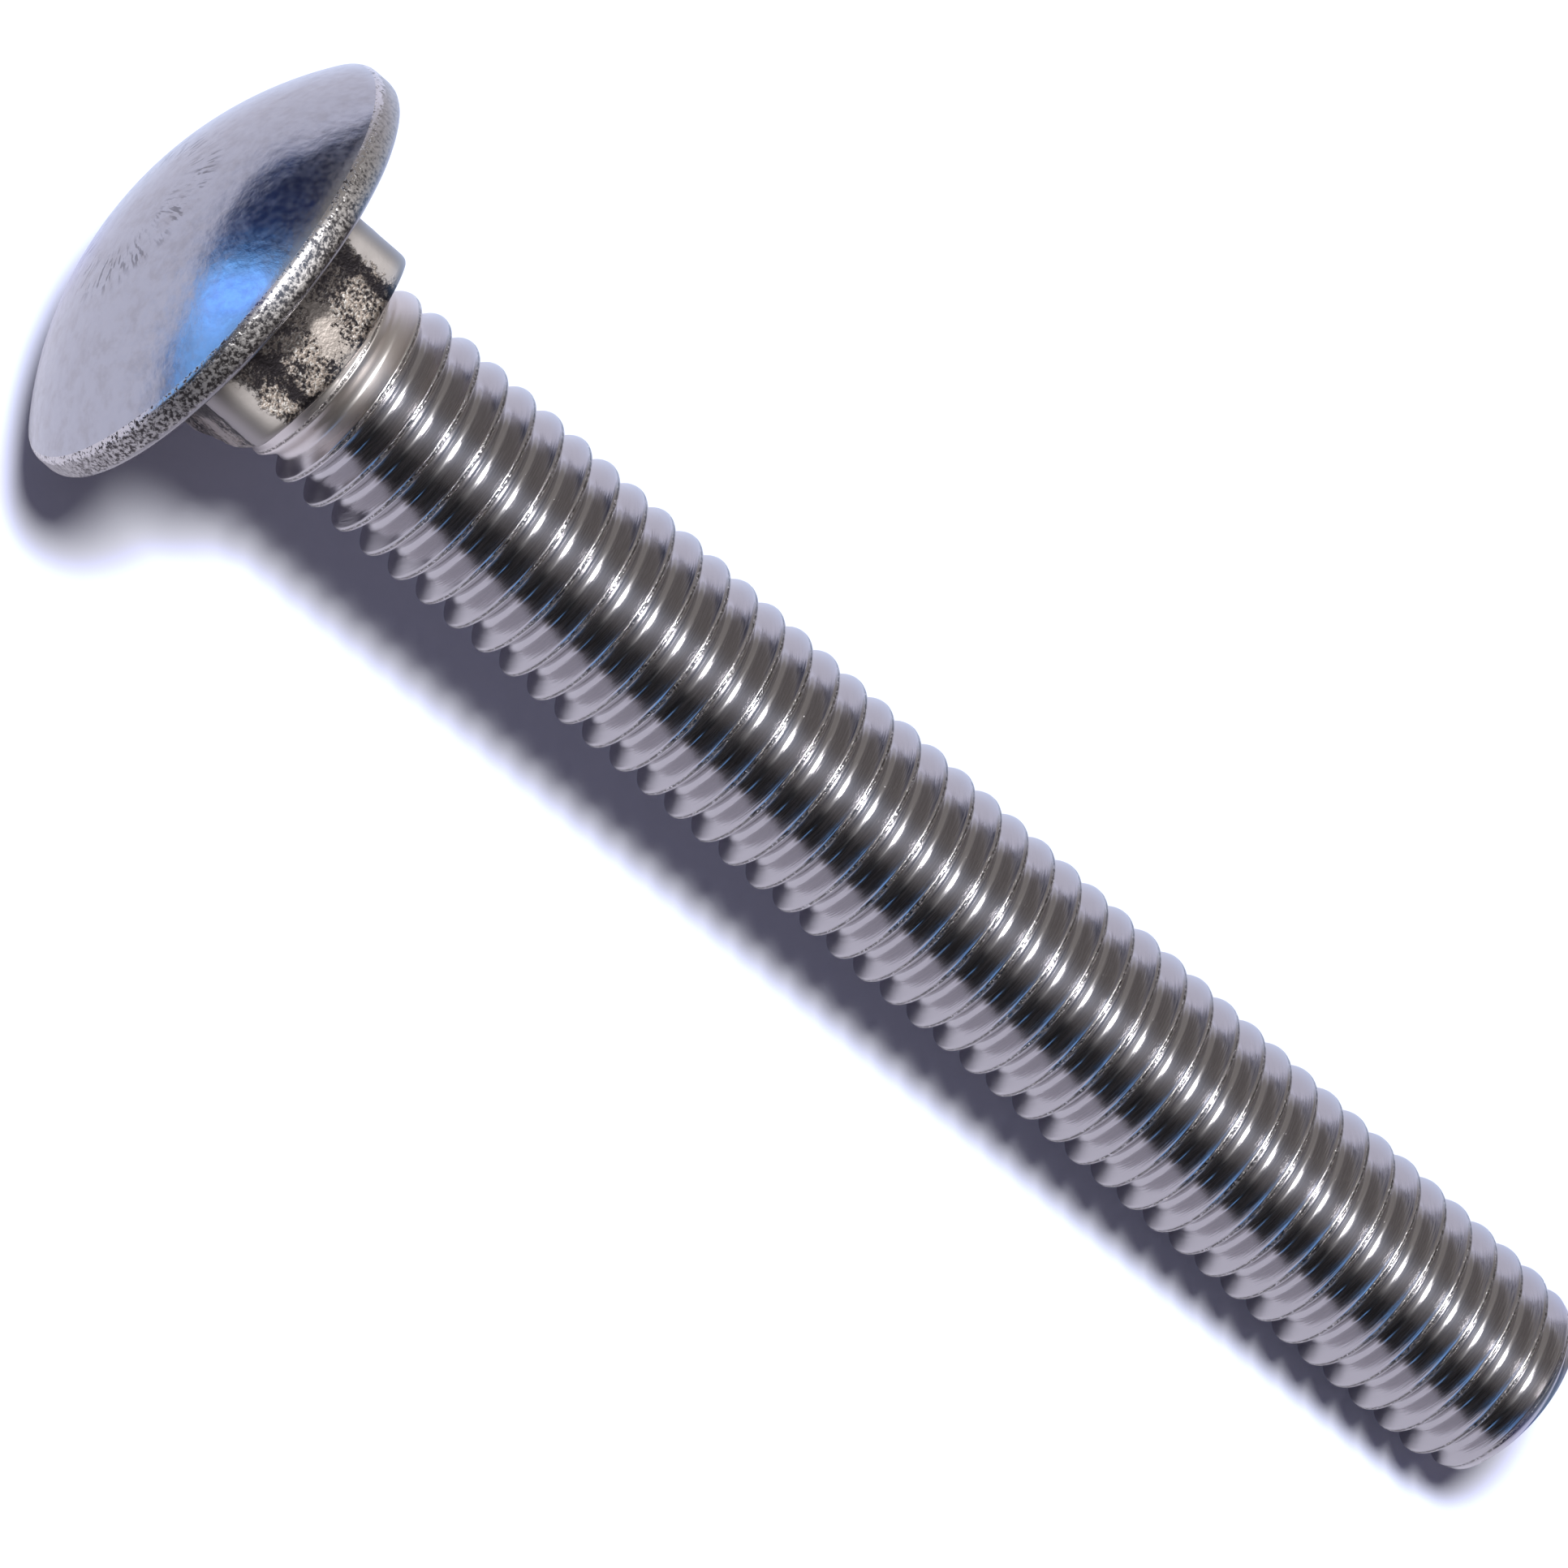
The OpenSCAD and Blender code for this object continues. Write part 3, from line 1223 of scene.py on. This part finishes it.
@dataclass(frozen=True)
class Studio:
    """Pale floor, one soft lamp overhead and the room that the steel reflects.

    Attributes:
        left_bend: How the sheet's end bends past the left: slopes near and far, and reach, in metres.
        right_bend: How it bends past the right: slope, start and greatest step, in metres.
    """

    floor_size: float = 6.0
    floor_colour: Colour = (0.84, 0.85, 0.93)
    lamp_side: tuple[float, float, float] = (-0.292, -0.13, 1.0)
    lamp_distance: float = 0.9
    lamp_width: float = math.radians(16.9)
    lamp_power: float = 9.6
    # Colours the sheet shows only in the steel's reflections: painted reflection.
    mirrored_floor: Colour = (0.64, 0.63, 0.72)
    mirrored_far: Colour = (0.80, 0.80, 0.94)
    mirrored_hem: Colour = (0.05, 0.09, 0.22)
    far_start: float = 0.03
    far_full: float = 0.12
    sheet_back: float = -0.115
    sheet_side: float = 0.4
    sheet_near: float = -0.065
    sheet_front: float = 0.065
    sheet_fade: float = 0.01
    near_fade: float = 0.025
    back_fade: float = 0.014
    hem_start: float = 0.018
    hem_full: float = 0.004
    left_bend: tuple[float, float, float] = (0.62, -1.5, 0.089)
    right_bend: tuple[float, float, float] = (-2.5, -0.012, 0.026)
    ahead: Colour = (0.10, 0.085, 0.075)
    ahead_from: float = 0.65
    ahead_full: float = 0.85
    field_from: float = 0.4
    field_full: float = 0.6
    field_half: float = 0.7
    field_top: float = 0.22
    field_bright: float = 0.12
    step_from: float = 0.24
    step_full: float = 0.14
    step_rise: float = 0.03
    slope: float = 0.35
    slope_from: float = 0.16 / 0.35
    fill: Colour = (0.089, 0.087, 0.134)

    def floor(self) -> bpy.types.Object:
        """Makes the floor, whose white sheet ends where the steel reflects the room.

        Returns:
            The floor.
        """
        bm = bmesh.new()
        bmesh.ops.create_grid(bm, x_segments=1, y_segments=1, size=self.floor_size / 2)
        mesh = bpy.data.meshes.new("floor")
        bm.to_mesh(mesh)
        bm.free()
        floor = add_object("floor", mesh)
        material = bpy.data.materials.new("white_sheet")
        material.use_nodes = True
        draft = Draft(material.node_tree)
        shader = material.node_tree.nodes["Principled BSDF"]
        shader.inputs["Roughness"].default_value = 1.0
        shader.inputs["Specular IOR Level"].default_value = 0.0
        x, y, _ = draft.axes(draft.value("ShaderNodeNewGeometry", output="Position"))
        rise, fall, reach = self.left_bend
        slope, start, step = self.right_bend
        bend = draft.math("MAXIMUM", draft.math("MINIMUM", y * rise, y * fall + reach),
                          draft.math("MINIMUM", y * slope + start, step))
        end = x - draft.math("MAXIMUM", bend, 0.0)
        outside = draft.remap(end, self.sheet_back, self.sheet_back - self.back_fade)
        for axis, edge, fade in ((x, self.sheet_front, self.sheet_fade),
                                 (y, self.sheet_side, self.sheet_fade),
                                 (y, self.sheet_near, -self.near_fade)):
            outside = draft.math("MAXIMUM", outside, draft.remap(axis, edge - fade, edge + fade))
        # Painted reflection: paler further out and dark blue along the sheet's back edge.
        hem = draft.remap(end, self.sheet_back + self.hem_start, self.sheet_back + self.hem_full)
        beyond = draft.remap(y, self.far_start, self.far_full)
        mirrored = draft.mix(beyond, self.mirrored_floor, self.mirrored_far)
        mirrored = draft.mix(hem, mirrored, self.mirrored_hem)
        seen = draft.value("ShaderNodeLightPath", output="Is Glossy Ray")
        material.node_tree.links.new(draft.mix(seen, self.floor_colour, mirrored).socket,
                                     shader.inputs["Base Color"])
        mix = draft.node("ShaderNodeMixShader", {
            0: outside * seen, 1: shader.outputs[0],
            2: draft.node("ShaderNodeBsdfTransparent").outputs[0]})
        material.node_tree.links.new(
            mix.outputs[0], material.node_tree.nodes["Material Output"].inputs["Surface"])
        mesh.materials.append(material)
        return floor

    def lamp(self) -> bpy.types.Object:
        """Hangs the lamp, leaning a little to the camera's side.

        Returns:
            The lamp.
        """
        light = bpy.data.lights.new("overhead_lamp", "AREA")
        light.shape = "DISK"
        light.size = 2 * self.lamp_distance * math.tan(self.lamp_width / 2)
        light.energy = self.lamp_power
        lamp = add_object("overhead_lamp", light)
        lamp.location = Vector(self.lamp_side).normalized() * self.lamp_distance
        lamp.rotation_euler = Vector(lamp.location).to_track_quat("Z", "Y").to_euler()
        return lamp

    def room(self) -> bpy.types.World:
        """Paints the room that the steel reflects, and the pale surroundings that the camera sees.

        Returns:
            The world.
        """
        world = bpy.data.worlds.new("room")
        bpy.context.scene.world = world
        world.use_nodes = True
        world.cycles.sampling_method = "NONE"
        draft = Draft(world.node_tree)
        x, y, z = draft.axes(draft.value("ShaderNodeTexCoord", output="Generated"))
        around = draft.math("ARCTAN2", z, y) * (FULL_DEGREES / FULL_TURN) + 1.25 * FULL_DEGREES
        colour = draft.ramp(draft.math("MODULO", around, FULL_DEGREES) / FULL_DEGREES,
                            {angle / FULL_DEGREES: colour for angle, colour in ROOM.items()})
        colour = draft.mix(draft.remap(x, self.ahead_from, self.ahead_full), colour, self.ahead)
        back = x * -1.0
        side = draft.math("ARCTAN2", y, back)
        tall = draft.remap(side, self.step_from, self.step_full, 0.0, self.step_rise)
        aside = draft.math("MAXIMUM", (side - self.slope_from) * self.slope, 0.0)
        facing = (draft.remap(back, self.field_from, self.field_full)
                  * draft.remap(z - tall + aside, self.field_top, self.field_bright))
        across = draft.remap(side, -self.field_half, self.field_half, shape="LINEAR")
        colour = draft.mix(facing, colour, draft.ramp(across, BLUE_FIELD))
        path = draft.outputs(draft.node("ShaderNodeLightPath"))
        fill = draft.mix(path["Is Glossy Ray"], self.fill, colour)
        shown = draft.mix(path["Is Camera Ray"], fill, (1.0, 1.0, 1.0))
        world.node_tree.links.new(shown.socket, world.node_tree.nodes["Background"].inputs["Color"])
        return world


@dataclass(frozen=True)
class PhotoCamera:
    """Camera at the photograph's viewing angle."""

    target: tuple[float, float, float] = (-0.00061, 0.00402, 0.0)
    distance: float = 0.41282
    azimuth: float = math.radians(-30.223)
    elevation: float = math.radians(55.036)
    roll: float = math.radians(63.994)
    lens: float = 223.4

    def build(self) -> bpy.types.Object:
        """Makes the camera and sets it as the scene's.

        Returns:
            The camera.
        """
        level = math.cos(self.elevation)
        back = Vector((math.sin(self.azimuth) * level, -math.cos(self.azimuth) * level,
                       math.sin(self.elevation)))
        data = bpy.data.cameras.new("photo_camera")
        data.lens = self.lens
        data.clip_start = 0.01
        camera = add_object("photo_camera", data)
        turn = (-back).to_track_quat("-Z", "Y").to_matrix() @ Matrix.Rotation(self.roll, 3, "Z")
        camera.matrix_world = Matrix.Translation(Vector(self.target) + back * self.distance) @ turn.to_4x4()
        bpy.context.scene.camera = camera
        return camera


@dataclass(frozen=True)
class Glow:
    """Bluish light that spills from the blown-out white over the edges of things."""

    threshold: float = 0.8
    spread: float = 0.015
    tint: Colour = (0.17, 0.29, 0.48)

    def build(self) -> bpy.types.NodeTree:
        """Sets up the scene's compositing.

        Returns:
            The compositing tree.
        """
        scene = bpy.context.scene
        scene.use_nodes = True
        tree = scene.node_tree
        tree.nodes.clear()
        draft = Draft(tree)
        picture = draft.node("CompositorNodeRLayers").outputs["Image"]
        held = draft.node("CompositorNodeMixRGB", {0: 1.0, 1: picture, 2: (1, 1, 1, 1)},
                          blend_type="DARKEN").outputs[0]
        curve = draft.node("CompositorNodeCurveRGB", {"Image": held})
        points = curve.mapping.curves[3].points
        points.new(self.threshold, 0.0)
        for point in points:
            point.handle_type = "VECTOR"
        curve.mapping.update()
        size = draft.node("CompositorNodeRelativeToPixel", {
            0: (self.spread, self.spread), 2: picture}, data_type="VECTOR", reference_dimension="X")
        blur = draft.node("CompositorNodeBlur", {"Image": curve.outputs[0], "Size": size.outputs[1]},
                          filter_type="GAUSS")
        tinted = draft.node("CompositorNodeMixRGB", {0: 1.0, 1: blur.outputs[0], 2: (*self.tint, 1)},
                            blend_type="MULTIPLY").outputs[0]
        spilt = draft.node("CompositorNodeMixRGB", {0: 1.0, 1: picture, 2: tinted},
                           blend_type="ADD").outputs[0]
        draft.node("CompositorNodeComposite", {"Image": spilt})
        return tree


def main() -> None:
    """Builds the bolt, the studio and the camera."""
    logging.basicConfig(level=logging.INFO, format="%(name)s %(message)s")
    bpy.context.scene.view_settings.view_transform = "Standard"
    place = BoltPlace.from_record(frame["record"])
    effects = Effects(place)
    bolt = CarriageBolt(place)
    finishes = {
        Surface.DOME: DomeFinish(),
        Surface.RIM: RimFinish(head=bolt.head),
        Surface.UNDERSIDE: GrittyFinish(name="forged_underside", grain=3.0, cover=0.4),
        Surface.NECK: NeckFinish(neck=bolt.neck),
        Surface.COLLAR: CollarFinish(),
        Surface.THREAD: ThreadFinish(thread=bolt.thread),
        Surface.TIP: GrittyFinish(name="sheared_tip", grain=2.5, cover=0.35),
    }
    bolt.build({surface: finish.material(effects) for surface, finish in finishes.items()})
    studio = Studio()
    for thing in (studio.floor(), studio.lamp(), studio.room(), PhotoCamera().build(), Glow().build()):
        log.info("%s is in place", thing.name)


if __name__ == "__main__":
    main()
